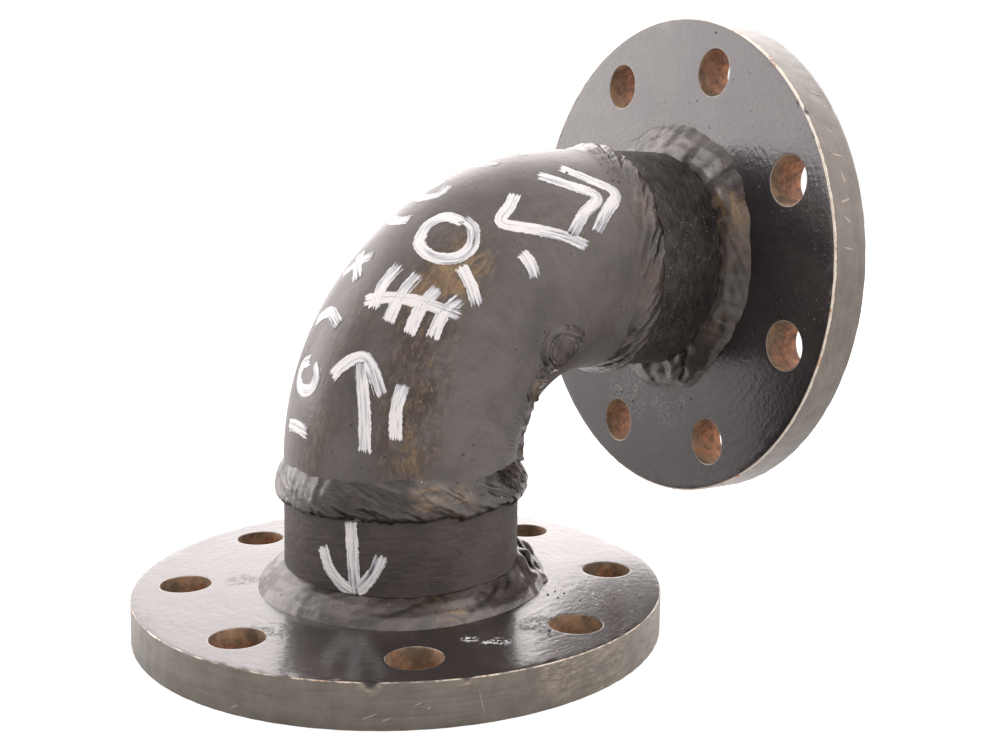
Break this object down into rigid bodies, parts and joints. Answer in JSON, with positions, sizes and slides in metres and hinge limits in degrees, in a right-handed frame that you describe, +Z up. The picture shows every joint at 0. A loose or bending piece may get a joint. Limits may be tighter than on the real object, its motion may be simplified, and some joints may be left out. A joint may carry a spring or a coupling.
{
  "type": "flanged pipe elbow",
  "caption": "Fabricated quarter-turn steel pipe bend with a short stub and a drilled plate flange welded to each end.",
  "frame": {"origin": "on the floor at the middle of the fitting's length and width, in the plane of the base flange's gasket face", "axes": "+Z up along the base pipe, from the base flange's gasket face; +X along the side pipe, out of the side flange's gasket face"},
  "size_m": [0.2424, 0.2032, 0.2416],
  "materials": {
    "plate_paint": "glossy brown-black paint, worn at the rim",
    "pipe_paint": "satin brown-black paint with brushed white marks",
    "weld_paint": "glossy paint over rough weld beads",
    "bare_weld": "bare weld metal"
  },
  "bodies": {
    "root": {"base_flange": "plate_paint", "side_flange": "plate_paint", "base_stub": "pipe_paint", "side_stub": "pipe_paint", "elbow": "pipe_paint", "base_butt_weld": "weld_paint", "side_butt_weld": "weld_paint", "base_fillet_weld": "weld_paint", "side_fillet_weld": "weld_paint", "base_seal_weld": "bare_weld", "side_seal_weld": "bare_weld", "throat_weld": "weld_paint"}
  },
  "joints": []
}
